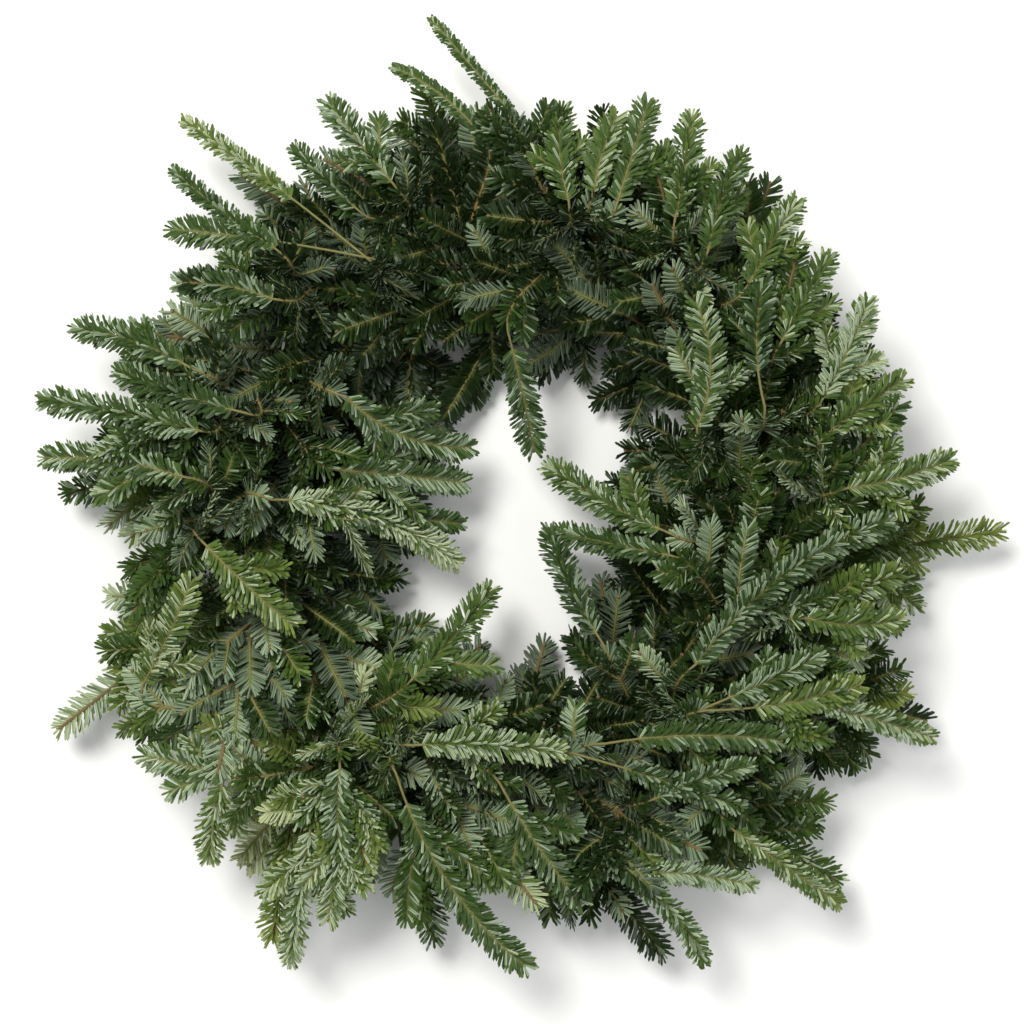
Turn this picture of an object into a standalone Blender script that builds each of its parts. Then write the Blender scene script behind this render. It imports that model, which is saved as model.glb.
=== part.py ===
"""A fresh evergreen wreath, 24 inch class, lying on its back with its face up.

A round wire ring carries fourteen bunches of fir. Each bunch has four sprays, and each
spray grew as one piece: a cut stem with its side shoots. The stems lie along the ring and
a thin binding wire goes once round the ring and the four stems, then on to the next bunch.
Every bunch leans over the stems of the next one, so all tips run the same way round.

Units are metres, +Z is up, and the face of the wreath looks up.
"""
import math
import random

import bpy
import bmesh
from mathutils import Vector

# The ring, the bunches and the binding wire
RING_RADIUS = 0.152
RING_WIRE_RADIUS = 0.0019
RING_HEIGHT = 0.0085
RING_CENTRE = Vector((-0.00594, -0.00942, RING_HEIGHT))
RING_SEGMENTS = 42
RING_WIRE_SIDES = 10
BUNCH_COUNT = 14
FIRST_BUNCH_ANGLE = math.radians(2.0)
BINDING_WIRE_RADIUS = 0.0004
BINDING_STEPS = 10
BINDING_ADVANCE = 0.0014
TOUCH_GAP = 0.0003

# The stems beside the ring: x is outwards from the ring, z is up from its centre
STEM_RADIUS = 0.0021
STEM_BEHIND = 0.026
STEM_AHEAD = 0.008
LANES = {
    "inner": (-0.0054, 0.0003),
    "face": (-0.0023, 0.0038),
    "crown": (0.0023, 0.0038),
    "outer": (0.0054, 0.0003),
}

# The sprays. A heading is measured from the ring's own direction, positive outwards
BEND_LENGTH = 0.040
FAMILIES = {
    "inner": {"heading": -84.0, "reach": 0.071, "thickness": 0.0055, "lift": 0.0},
    "face": {"heading": -28.0, "reach": 0.100, "thickness": 0.008, "lift": 0.0},
    "crown": {"heading": 14.0, "reach": 0.112, "thickness": 0.011, "lift": 0.0106},
    "outer": {"heading": 50.0, "reach": 0.106, "thickness": 0.012, "lift": 0.0022},
}
HEADING_SPREAD = 3.0
REACH_SPREAD = 0.05
SLOPE = 0.42
MIDRIB_HALF_WIDTH = 0.007
SHOOT_HALF_WIDTH = 0.0085
SHOOT_ANGLE = math.radians(42.0)
SHOOT_SPACING = 0.029
FIRST_SHOOT = 0.016
WEDGE_SLOPE = 0.50
TIP_TAPER = 0.75

# The rim is ragged: heading and reach of each bunch's outer spray, in order round the ring
RIM = [
    (50.0, 0.082), (48.0, 0.092), (48.0, 0.096), (52.0, 0.136), (50.0, 0.132), (48.0, 0.115),
    (56.0, 0.112), (54.0, 0.143), (36.0, 0.148), (44.0, 0.105), (40.0, 0.130), (48.0, 0.140),
    (54.0, 0.118), (58.0, 0.130),
]
# The hole is ragged too: the reach of each bunch's inner spray, in order round the ring
HOLE = [
    0.072, 0.044, 0.076, 0.052, 0.072, 0.074, 0.077, 0.079, 0.042, 0.064, 0.048, 0.060, 0.079,
    0.066,
]

COLOURS = {
    "fir_green": ((0.045, 0.105, 0.040), 0.55, 0.0),
    "ring_enamel": ((0.030, 0.070, 0.035), 0.40, 0.3),
    "binding_enamel": ((0.040, 0.095, 0.045), 0.35, 0.4),
}


def clear_scene():
    for old in list(bpy.data.objects):
        bpy.data.objects.remove(old)


def make_collection(name):
    collection = bpy.data.collections.new(name)
    bpy.context.scene.collection.children.link(collection)
    return collection


def make_material(name):
    colour, roughness, metallic = COLOURS[name]
    material = bpy.data.materials.new(name)
    material.use_nodes = True
    shader = material.node_tree.nodes["Principled BSDF"]
    shader.inputs["Base Color"].default_value = (*colour, 1.0)
    shader.inputs["Roughness"].default_value = roughness
    shader.inputs["Metallic"].default_value = metallic
    material.diffuse_color = (*colour, 1.0)
    return material


def mesh_from_curve(name, curve_object):
    """Turn a finished curve into a closed mesh object and remove the curve."""
    bpy.context.view_layer.update()
    depsgraph = bpy.context.evaluated_depsgraph_get()
    mesh = bpy.data.meshes.new_from_object(curve_object.evaluated_get(depsgraph))
    mesh.name = name
    shape = bmesh.new()
    shape.from_mesh(mesh)
    bmesh.ops.remove_doubles(shape, verts=shape.verts, dist=0.00001)
    shape.to_mesh(mesh)
    shape.free()
    placed = bpy.data.objects.new(name, mesh)
    placed.matrix_world = curve_object.matrix_world.copy()
    curve = curve_object.data
    bpy.data.objects.remove(curve_object)
    bpy.data.curves.remove(curve)
    return placed


def tube(name, points, radius):
    """A round wire or stem with capped ends through the given points."""
    curve = bpy.data.curves.new(name, "CURVE")
    curve.dimensions = "3D"
    curve.bevel_depth = radius
    curve.bevel_resolution = 1
    curve.use_fill_caps = True
    spline = curve.splines.new("POLY")
    spline.points.add(len(points) - 1)
    for spot, point in zip(spline.points, points):
        spot.co = (*point, 1.0)
    holder = bpy.data.objects.new(name + "_curve", curve)
    bpy.context.scene.collection.objects.link(holder)
    return mesh_from_curve(name, holder)


def flat_plate(name, outline, thickness):
    """A flat closed outline given half its thickness each way."""
    curve = bpy.data.curves.new(name, "CURVE")
    curve.dimensions = "2D"
    curve.fill_mode = "BOTH"
    curve.extrude = thickness / 2
    spline = curve.splines.new("POLY")
    spline.points.add(len(outline) - 1)
    for spot, (x, y) in zip(spline.points, outline):
        spot.co = (x, y, 0.0, 1.0)
    spline.use_cyclic_u = True
    holder = bpy.data.objects.new(name + "_curve", curve)
    bpy.context.scene.collection.objects.link(holder)
    return mesh_from_curve(name, holder)


def bunch_angle(bunch):
    return FIRST_BUNCH_ANGLE + bunch * math.tau / BUNCH_COUNT


def along_ring(offset, along):
    """A place beside the ring, in the frame of a bunch: x outwards, y along the ring."""
    turn = along / RING_RADIUS
    radius = RING_RADIUS + offset
    return Vector((radius * math.cos(turn) - RING_RADIUS, radius * math.sin(turn)))


def stem_line(lane_offset, heading):
    """The bound stretch of a stem, then the bend that ends in the spray's heading."""
    bound = [along_ring(lane_offset, y) for y in (-STEM_BEHIND, -0.009, STEM_AHEAD)]
    place = bound[-1].copy()
    start_heading = -STEM_AHEAD / RING_RADIUS
    bend = []
    steps = 12
    for step in range(steps):
        share = (step + 0.5) / steps
        now = start_heading + (heading - start_heading) * share
        place = place + Vector((math.sin(now), math.cos(now))) * (BEND_LENGTH / steps)
        bend.append(place)
    return bound, bend[3::4]


def frond_outline(reach):
    """One side of a spray's outline, in (along, across): blunt lobes for the side shoots."""
    side = []
    sine, cosine = math.sin(SHOOT_ANGLE), math.cos(SHOOT_ANGLE)
    width = SHOOT_HALF_WIDTH
    count = max(1, int((reach - FIRST_SHOOT - 0.012) / SHOOT_SPACING) + 1)
    for index in range(count):
        root = FIRST_SHOOT + index * SHOOT_SPACING
        length = min(WEDGE_SLOPE * (root + BEND_LENGTH), TIP_TAPER * (reach - root) + 0.010)
        from_rib = (MIDRIB_HALF_WIDTH - width * cosine) / sine
        to_rib = (MIDRIB_HALF_WIDTH + width * cosine) / sine
        if length < to_rib + 0.003:
            break
        side.append((root + from_rib * cosine - width * sine, MIDRIB_HALF_WIDTH))
        side.append((root + length * cosine - width * sine, length * sine + width * cosine))
        side.append((root + (length + 0.004) * cosine + width * sine * 0.4,
                     (length + 0.004) * sine - width * cosine * 0.4))
        side.append((root + to_rib * cosine + width * sine, MIDRIB_HALF_WIDTH))
    return side


def make_spray(name, family, heading, reach, parts, cutters):
    """One spray: a bound stem that bends to its heading and opens into a lobed frond."""
    lane_offset, lane_height = LANES[family]
    thickness = FAMILIES[family]["thickness"]
    bound, bend = stem_line(lane_offset, heading)
    root = bend[-1]
    ahead = Vector((math.sin(heading), math.cos(heading)))
    across = Vector((math.cos(heading), -math.sin(heading)))
    start = -BEND_LENGTH * 0.22
    right = frond_outline(reach)
    half = [(start, MIDRIB_HALF_WIDTH * 0.5)] + right + [(reach - 0.008, MIDRIB_HALF_WIDTH)]
    loop = half + [(reach, 0.0)] + [(along, -side) for along, side in reversed(half)]
    outline = [tuple(root + ahead * along + across * side) for along, side in loop]

    base_height = RING_HEIGHT + lane_height
    end_of_bound = bound[-1].y
    lift = FAMILIES[family]["lift"]

    def plane_height(y):
        return base_height + SLOPE * (y - end_of_bound) + lift

    droop = 0.0
    if family in ("inner", "outer"):
        lows = []
        for x, y in outline:
            sideways = abs(x - lane_offset)
            if sideways > 0.02:
                lows.append((plane_height(y) - thickness / 2) / sideways)
        droop = min(lows)

    def height(x, y):
        return plane_height(y) - droop * abs(x - lane_offset)

    stem_points = [(spot.x, spot.y, base_height) for spot in bound]
    for index, spot in enumerate(bend):
        still_to_rise = lift * (1.0 - (index + 1) / len(bend))
        stem_points.append((spot.x, spot.y, height(spot.x, spot.y) - still_to_rise))
    stem = tube(name + "_stem", stem_points, STEM_RADIUS)
    frond = flat_plate(name, outline, thickness)
    for vertex in frond.data.vertices:
        vertex.co.z += height(vertex.co.x, vertex.co.y)
    parts.objects.link(frond)
    cutters.objects.link(stem)
    stem.hide_render = True
    stem.display_type = "WIRE"
    union = frond.modifiers.new("Grown together", "BOOLEAN")
    union.operation = "UNION"
    union.object = stem
    return frond, stem


def place_on_ring(thing, bunch):
    angle = bunch_angle(bunch)
    outwards = Vector((math.cos(angle), math.sin(angle), 0.0))
    thing.rotation_euler = (0.0, 0.0, angle)
    thing.location = Vector((RING_CENTRE.x, RING_CENTRE.y, 0.0)) + outwards * RING_RADIUS


def make_sprays(parts, cutters, material):
    chance = random.Random(14)
    for bunch in range(BUNCH_COUNT):
        for family, habit in FAMILIES.items():
            heading = habit["heading"] + chance.uniform(-HEADING_SPREAD, HEADING_SPREAD)
            reach = habit["reach"] * (1.0 + chance.uniform(-REACH_SPREAD, REACH_SPREAD))
            if family == "outer":
                heading, reach = RIM[bunch]
            if family == "inner":
                reach = HOLE[bunch]
            name = f"{family}_spray_{bunch + 1:02d}"
            frond, stem = make_spray(name, family, math.radians(heading), reach, parts, cutters)
            frond.data.materials.append(material)
            place_on_ring(frond, bunch)
            place_on_ring(stem, bunch)


def make_ring(parts, material):
    bpy.ops.mesh.primitive_torus_add(
        major_segments=RING_SEGMENTS, minor_segments=RING_WIRE_SIDES,
        major_radius=RING_RADIUS, minor_radius=RING_WIRE_RADIUS, location=RING_CENTRE)
    ring = bpy.context.object
    ring.name = "wire_ring"
    ring.data.shade_smooth()
    for collection in list(ring.users_collection):
        collection.objects.unlink(ring)
    parts.objects.link(ring)
    ring.data.materials.append(material)


def loop_point(direction):
    """The place of the binding wire round the ring and the four stems, seen along the ring."""
    away = Vector((math.cos(direction), math.sin(direction)))
    rounds = [(Vector(place), STEM_RADIUS) for place in LANES.values()]
    rounds.append((Vector((0.0, 0.0)), RING_WIRE_RADIUS))
    centre, radius = max(rounds, key=lambda item: item[0].dot(away) + item[1])
    return centre + away * (radius + TOUCH_GAP * 1.5 + BINDING_WIRE_RADIUS)


def make_binding_wire(parts, material):
    """One wire: once round each bunch, then along the outer back of the ring to the next."""
    back = math.radians(-45.0)
    run = Vector((math.cos(back), math.sin(back)))
    run *= RING_WIRE_RADIUS + TOUCH_GAP * 1.5 + BINDING_WIRE_RADIUS
    points = []
    for bunch in range(BUNCH_COUNT):
        middle = bunch_angle(bunch)
        for step in range(BINDING_STEPS + 1):
            share = step / BINDING_STEPS
            spot = loop_point(back + math.tau * share)
            turn = middle + (share - 0.5) * BINDING_ADVANCE * 2 / RING_RADIUS
            points.append((spot, turn))
        if bunch < BUNCH_COUNT - 1:
            for share in (0.12, 0.37, 0.63, 0.88):
                points.append((run, middle + share * math.tau / BUNCH_COUNT))
    line = []
    for spot, turn in points:
        radius = RING_RADIUS + spot.x
        line.append((radius * math.cos(turn), radius * math.sin(turn), spot.y))
    wire = tube("binding_wire", line, BINDING_WIRE_RADIUS)
    wire.location = RING_CENTRE
    wire.data.shade_smooth()
    parts.objects.link(wire)
    wire.data.materials.append(material)


def main():
    clear_scene()
    parts = make_collection("evergreen_wreath")
    cutters = make_collection("grown_in_stems")
    make_ring(parts, make_material("ring_enamel"))
    make_binding_wire(parts, make_material("binding_enamel"))
    make_sprays(parts, cutters, make_material("fir_green"))


main()
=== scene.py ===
# %% [markdown]
# # A fresh evergreen wreath
#
# The real wreath is made of cut fir. A maker lays four sprays together, presses their stems
# against a wire ring, winds thin wire round them, and covers the stems with the next bunch.
# The CAD model holds that construction: the ring, the binding wire, and one plain solid for
# each spray. This lesson grows a leafy spray in the place of each solid: twigs as tapered
# curves, and needles and buds as small shapes that are modelled once and copied along them.

# %% Load the fixed frame
import math
import random

import bpy
import numpy as np
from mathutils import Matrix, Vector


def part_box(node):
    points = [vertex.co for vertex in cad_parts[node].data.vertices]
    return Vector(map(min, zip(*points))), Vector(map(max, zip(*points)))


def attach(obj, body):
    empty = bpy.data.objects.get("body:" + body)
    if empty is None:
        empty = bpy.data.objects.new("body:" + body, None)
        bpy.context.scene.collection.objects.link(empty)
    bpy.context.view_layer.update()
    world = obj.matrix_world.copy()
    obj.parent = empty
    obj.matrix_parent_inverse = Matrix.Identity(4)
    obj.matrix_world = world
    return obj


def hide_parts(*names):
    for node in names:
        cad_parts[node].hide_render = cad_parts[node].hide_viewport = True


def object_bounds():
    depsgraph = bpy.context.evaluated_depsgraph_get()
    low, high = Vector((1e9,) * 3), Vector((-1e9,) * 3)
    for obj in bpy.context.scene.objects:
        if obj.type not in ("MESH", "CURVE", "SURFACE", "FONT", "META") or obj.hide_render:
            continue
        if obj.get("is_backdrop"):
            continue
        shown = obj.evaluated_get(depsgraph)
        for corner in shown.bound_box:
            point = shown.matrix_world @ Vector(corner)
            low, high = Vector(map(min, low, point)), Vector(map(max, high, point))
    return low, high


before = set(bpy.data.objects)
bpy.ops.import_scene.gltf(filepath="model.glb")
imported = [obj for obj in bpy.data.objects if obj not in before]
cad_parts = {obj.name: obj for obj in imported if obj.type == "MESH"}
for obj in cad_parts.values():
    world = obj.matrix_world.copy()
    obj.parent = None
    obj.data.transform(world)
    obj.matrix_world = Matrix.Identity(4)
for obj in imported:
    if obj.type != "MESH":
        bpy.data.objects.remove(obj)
cad_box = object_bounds()
bpy.ops.object.select_all(action="DESELECT")
cad_low, cad_high = (np.array(corner) for corner in cad_box)
print("CAD box in mm:", np.round((cad_high - cad_low) * 1000, 1))

# %% [markdown]
# ## Camera, floor and light
#
# The wreath lies on its back, so the camera looks straight down on its face, from far enough
# away that the near tips don't swell. The top of the picture is +Y. The floor is a plain pale
# sheet. Greenery looks alive under one large soft lamp, a weak one opposite, and an even sky: a
# hard lamp would break thousands of needles into noise.

# %% Camera
LENS_MM = 85.0
SENSOR_MM = 36.0
PICTURE_WIDTH = 0.640
CAMERA_OFFSET = (-0.0045, -0.0095)
middle_height = (cad_low[2] + cad_high[2]) / 2

camera = bpy.data.objects.new("camera", bpy.data.cameras.new("camera"))
camera.data.lens = LENS_MM
camera.data.sensor_width = SENSOR_MM
camera.location = (*CAMERA_OFFSET, middle_height + PICTURE_WIDTH * LENS_MM / SENSOR_MM)
bpy.context.scene.collection.objects.link(camera)
bpy.context.scene.camera = camera
print("camera height in m:", round(camera.location.z, 3))

# %% Floor, lamps and sky
FLOOR_SIZE = 8.0
FLOOR_DROP = 0.0002
FLOOR_COLOUR = (0.93, 0.93, 0.92, 1)
FLOOR_ROUGHNESS = 0.9
SKY_COLOUR = (0.98, 0.99, 1.0, 1)
SKY_LEVEL = 0.46
LAMPS = {
    "key": {"place": (-0.85, 1.05, 2.3), "size": 1.0, "watts": 66.5, "colour": (1.0, 0.985, 0.95)},
    "fill": {"place": (1.5, -0.9, 1.7), "size": 1.8, "watts": 12.0, "colour": (0.97, 0.98, 1.0)},
}

bpy.ops.mesh.primitive_plane_add(size=FLOOR_SIZE, location=(0, 0, -FLOOR_DROP))
floor = bpy.context.object
floor.name = "floor"
floor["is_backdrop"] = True
paper = bpy.data.materials.new("pale_floor")
paper.use_nodes = True
paper_shader = paper.node_tree.nodes["Principled BSDF"]
paper_shader.inputs["Base Color"].default_value = FLOOR_COLOUR
paper_shader.inputs["Roughness"].default_value = FLOOR_ROUGHNESS
floor.data.materials.append(paper)

for name, lamp in LAMPS.items():
    light = bpy.data.lights.new(name, "AREA")
    light.size = lamp["size"]
    light.energy = lamp["watts"]
    light.color = lamp["colour"]
    holder = bpy.data.objects.new(name, light)
    holder.location = lamp["place"]
    aim = -holder.location
    holder.rotation_euler = aim.to_track_quat("-Z", "Y").to_euler()
    bpy.context.scene.collection.objects.link(holder)

sky = bpy.data.worlds.new("studio_sky")
sky.use_nodes = True
sky_glow = sky.node_tree.nodes["Background"]
sky_glow.inputs["Color"].default_value = SKY_COLOUR
sky_glow.inputs["Strength"].default_value = SKY_LEVEL
bpy.context.scene.world = sky
bpy.context.scene.view_settings.view_transform = "Standard"
print("lamps:", ", ".join(LAMPS), "and the sky")

# %% [markdown]
# ## Where each spray is bound
#
# The CAD model follows one rule for all 56 sprays, and this script repeats that rule. A bunch
# has its own frame: x points out of the ring, y runs along it, and z is up. The four stems lie
# in lanes beside the ring wire, and each one bends away to its spray's heading. The rim and the
# hole of this wreath are ragged, so every bunch has its own reach there. The slope of a spray is
# read from its CAD solid with a least squares fit, so it can't drift from the model.
#
# A lane is an offset out of the ring's line and a height over it. A habit is a heading in degrees
# from the ring's line, and a reach past the bend.

# %% The rule of the layout
BUNCH_COUNT = 14
FIRST_BUNCH_ANGLE = math.radians(2.0)
STEM_BEHIND = 0.026
STEM_AHEAD = 0.008
BOUND_LENGTH = STEM_BEHIND + STEM_AHEAD
BEND_LENGTH = 0.040
HEADING_SPREAD = 3.0
REACH_SPREAD = 0.05
LANES = {
    "inner": (-0.0054, 0.0003),
    "face": (-0.0023, 0.0038),
    "crown": (0.0023, 0.0038),
    "outer": (0.0054, 0.0003),
}
HABITS = {
    "inner": (-84.0, 0.071),
    "face": (-28.0, 0.100),
    "crown": (14.0, 0.112),
    "outer": (50.0, 0.106),
}
RIM_HABITS = [
    (50.0, 0.082), (48.0, 0.092), (48.0, 0.096), (52.0, 0.136), (50.0, 0.132), (48.0, 0.115),
    (56.0, 0.112), (54.0, 0.143), (36.0, 0.148), (44.0, 0.105), (40.0, 0.130), (48.0, 0.140),
    (54.0, 0.118), (58.0, 0.130),
]
HOLE_REACHES = [
    0.072, 0.044, 0.076, 0.052, 0.072, 0.074, 0.077, 0.079, 0.042, 0.064, 0.048, 0.060, 0.079,
    0.066,
]

RING_WIRE_RADIUS = 0.0019
STRAIGHT_UP = np.array((0.0, 0.0, 1.0))

ring_low, ring_high = (np.array(corner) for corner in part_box("wire_ring"))
ring_centre = (ring_low + ring_high) / 2
ring_radius = (ring_high[0] - ring_low[0]) / 2 - RING_WIRE_RADIUS
print("ring radius in mm:", round(ring_radius * 1000, 1))


def bunch_angle(bunch):
    return FIRST_BUNCH_ANGLE + bunch * math.tau / BUNCH_COUNT


def bunch_axes(bunch):
    """The place of a bunch on the ring, the way out of the ring, and the way along it."""
    angle = bunch_angle(bunch)
    outwards = np.array((math.cos(angle), math.sin(angle), 0.0))
    along = np.array((-math.sin(angle), math.cos(angle), 0.0))
    base = np.array((ring_centre[0], ring_centre[1], 0.0)) + outwards * ring_radius
    return base, outwards, along


def to_world(points, bunch):
    """Take points from a bunch's own frame to the wreath's frame."""
    base, outwards, along = bunch_axes(bunch)
    points = np.asarray(points)
    return base + points[..., :1] * outwards + points[..., 1:2] * along \
        + points[..., 2:] * STRAIGHT_UP


def to_bunch(points, bunch):
    """The way back: from the wreath's frame to a bunch's own frame."""
    base, outwards, along = bunch_axes(bunch)
    away = np.asarray(points) - base
    return np.stack((away @ outwards, away @ along, away[..., 2]), axis=-1)


# %% [markdown]
# ## One needle, modelled once
#
# A fir needle is a flat blunt strip about 15 mm long and under 2 mm wide. Its top is dark and
# flat, its underside has a low keel between two silvery bands. It could be a flat card, but a
# card has no thickness and no underside. A three-sided cylinder has both: one side becomes the
# flat top, the other two meet at the keel. Its caps are fans, so their middle points can be
# pulled out to make the foot and the tip. The finished needle has 12 triangles, few enough to
# copy a hundred thousand times.

# %% The needle
FOOT_END = 0.10
FOOT_WIDTH = 0.72
TIP_START = 0.88
NEEDLE_KEEL = 0.28
SAME_HEIGHT = 0.01
ON_AXIS = 0.1

bpy.ops.mesh.primitive_cylinder_add(vertices=3, radius=0.5, depth=TIP_START - FOOT_END,
                                    end_fill_type="TRIFAN",
                                    location=(0, 0, (FOOT_END + TIP_START) / 2))
needle = bpy.context.object
needle.name = "needle_pattern"
bpy.ops.object.transform_apply(location=True, rotation=True, scale=True)


def shape_ring(height, width):
    """Set one ring of the needle to its width: two corners on top, the third is the keel."""
    level = [v for v in needle.data.vertices if abs(v.co.z - height) < SAME_HEIGHT]
    ring = sorted((v for v in level if math.hypot(v.co.x, v.co.y) > ON_AXIS),
                  key=lambda v: v.co.y)
    middles = [v for v in level if v not in ring]
    lone = ring[0] if ring[1].co.y - ring[0].co.y > ring[2].co.y - ring[1].co.y else ring[2]
    pair = sorted((v for v in ring if v is not lone), key=lambda v: v.co.x)
    lone.co.x, lone.co.y = 0.0, -NEEDLE_KEEL * width
    for corner, side in zip(pair, (-0.5, 0.5)):
        corner.co.x, corner.co.y = side * width, 0.0
    for middle in middles:
        middle.co = (0.0, 0.0, 0.0 if height < 0.5 else 1.0)


shape_ring(FOOT_END, FOOT_WIDTH)
shape_ring(TIP_START, 1.0)
bpy.ops.object.mode_set(mode="EDIT")
bpy.ops.mesh.select_all(action="SELECT")
bpy.ops.mesh.quads_convert_to_tris()
bpy.ops.mesh.normals_make_consistent(inside=False)
bpy.ops.object.mode_set(mode="OBJECT")
print("needle:", len(needle.data.vertices), "points,", len(needle.data.polygons), "faces")

# %% [markdown]
# ## One bud, modelled once
#
# About half of the shoots end in a round resinous bud with two smaller ones beside it. A coarse
# sphere that is drawn out to a point is enough at 2 mm.

# %% The bud
BUD_TAPER = 0.35
BUD_STRETCH = 0.25

bpy.ops.mesh.primitive_uv_sphere_add(segments=7, ring_count=5, radius=0.5, location=(0, 0, 0.4))
bud = bpy.context.object
bud.name = "bud_pattern"
bpy.ops.object.transform_apply(location=True, rotation=True, scale=True)
for v in bud.data.vertices:
    rise = v.co.z + 0.1
    squeeze = 1.0 - BUD_TAPER * rise * rise
    v.co.x *= squeeze
    v.co.y *= squeeze
    v.co.z *= 1.0 + BUD_STRETCH * rise
bpy.ops.object.mode_set(mode="EDIT")
bpy.ops.mesh.select_all(action="SELECT")
bpy.ops.mesh.quads_convert_to_tris()
bpy.ops.object.mode_set(mode="OBJECT")
print("bud:", len(bud.data.vertices), "points,", len(bud.data.polygons), "faces")


def pattern_arrays(pattern):
    """The points and triangles of a pattern as arrays, and the pattern itself is removed."""
    points = np.array([v.co[:] for v in pattern.data.vertices])
    faces = np.array([p.vertices[:] for p in pattern.data.polygons])
    bpy.data.objects.remove(pattern)
    return points, faces


needle_points, needle_faces = pattern_arrays(needle)
bud_points, bud_faces = pattern_arrays(bud)

# %% [markdown]
# ## The colour chart on the map
#
# Every spray carries one UV map, and its colours are painted by that map alone. Most of it is a
# chart of needle tones: one column for each tone, from shaded blue-green to fresh yellow-green.
# The lower half of a column is the underside of a needle, the upper half is its top, and up a
# half runs from the needle's foot to its tip. The strip at the right holds bark, buds and cut
# wood. A needle picks its tone by standing on that column.

# %% Places on the chart
MAP_NAME = "OFBake"
TONES = 16
CHART_WIDTH = 0.75
COLUMN_MARGIN = 0.06
HALF_MARGIN = 0.02
BARK_LEFT = 0.78
BARK_RIGHT = 0.97
CUT_WOOD_HEIGHT = 0.97
BUD_LOW = 0.86
BUD_HIGH = 0.93
TOP_FACE_DEPTH = 0.012


def needle_chart():
    """Where each corner of the needle's triangles stands inside a column, and if it is top."""
    corners = needle_points[needle_faces]
    middles = corners.mean(axis=1)
    is_top = middles[:, 1] > -TOP_FACE_DEPTH
    across = corners[..., 0] + 0.5
    up = corners[..., 2]
    return across, up, is_top


needle_across, needle_up, needle_is_top = needle_chart()
print("top faces on a needle:", int(needle_is_top.sum()))


def needle_uv(tones):
    """UV corners for needles of the given tones: an array of needles x triangles x 3 x 2."""
    across = COLUMN_MARGIN + (1 - 2 * COLUMN_MARGIN) * needle_across
    u = (tones[:, None, None] + across[None]) / TONES * CHART_WIDTH
    up = HALF_MARGIN + (0.5 - 2 * HALF_MARGIN) * needle_up
    v = up + 0.5 * needle_is_top[:, None]
    return np.stack((u, np.broadcast_to(v, u.shape)), axis=-1)


# %% [markdown]
# ## The finish of the needles
#
# A flat green would look like felt. Real needles differ from shoot to shoot, and each one is
# waxy and dark above, with a groove down its middle, and silvery below, where two bands of wax
# run beside the keel. All of that is worked out from the chart: the column gives the tone, the
# place across it gives the bands and the painted shade of the groove, with painted shade at the
# edges and painted light on the flats between, and the place along it gives the pale foot and tip.

# %% Helpers for building materials
def new_material(name):
    material = bpy.data.materials.new(name)
    material.use_nodes = True
    return material, material.node_tree, material.node_tree.nodes["Principled BSDF"]


def add_math(tree, operation, first, second=None):
    """A Math node whose inputs are sockets or plain numbers; gives its output socket."""
    node = tree.nodes.new("ShaderNodeMath")
    node.operation = operation
    for slot, value in zip(node.inputs, (first, second)):
        if value is None:
            continue
        if isinstance(value, (int, float)):
            slot.default_value = value
        else:
            tree.links.new(value, slot)
    return node.outputs[0]


def add_ramp(tree, factor, stops, interpolation="LINEAR"):
    """A colour ramp over a factor: stops are (place, (r, g, b))."""
    node = tree.nodes.new("ShaderNodeValToRGB")
    node.color_ramp.interpolation = interpolation
    points = node.color_ramp.elements
    while len(points) < len(stops):
        points.new(0.5)
    for point, (place, colour) in zip(points, stops):
        point.position = place
        point.color = (*colour, 1.0)
    tree.links.new(factor, node.inputs["Fac"])
    return node.outputs["Color"]


def add_mix(tree, factor, first, second, blend="MIX"):
    node = tree.nodes.new("ShaderNodeMix")
    node.data_type = "RGBA"
    node.blend_type = blend
    for slot, value in ((node.inputs["Factor"], factor), (node.inputs[6], first),
                        (node.inputs[7], second)):
        if isinstance(value, (int, float)):
            slot.default_value = value
        elif isinstance(value, tuple):
            slot.default_value = (*value, 1.0)
        else:
            tree.links.new(value, slot)
    return node.outputs[2]


def add_map_axes(tree):
    """The u and v of the piece's own map."""
    place = tree.nodes.new("ShaderNodeTexCoord")
    split = tree.nodes.new("ShaderNodeSeparateXYZ")
    tree.links.new(place.outputs["UV"], split.inputs[0])
    return place.outputs["UV"], split.outputs[0], split.outputs[1]


# %% Needle material
TOP_TONES = [
    (0.00, (0.011, 0.025, 0.005)), (0.20, (0.021, 0.047, 0.009)), (0.40, (0.034, 0.073, 0.012)),
    (0.60, (0.052, 0.099, 0.017)), (0.80, (0.085, 0.140, 0.024)), (1.00, (0.158, 0.206, 0.040)),
]
UNDER_TONES = [
    (0.00, (0.022, 0.036, 0.018)), (0.40, (0.085, 0.125, 0.054)), (0.80, (0.140, 0.185, 0.070)),
    (1.00, (0.210, 0.245, 0.090)),
]
BAND_TONES = [
    (0.00, (0.090, 0.130, 0.074)), (0.30, (0.225, 0.310, 0.185)), (0.60, (0.360, 0.455, 0.292)),
    (1.00, (0.465, 0.525, 0.290)),
]
FOOT_COLOUR = (0.19, 0.20, 0.05)


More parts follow.
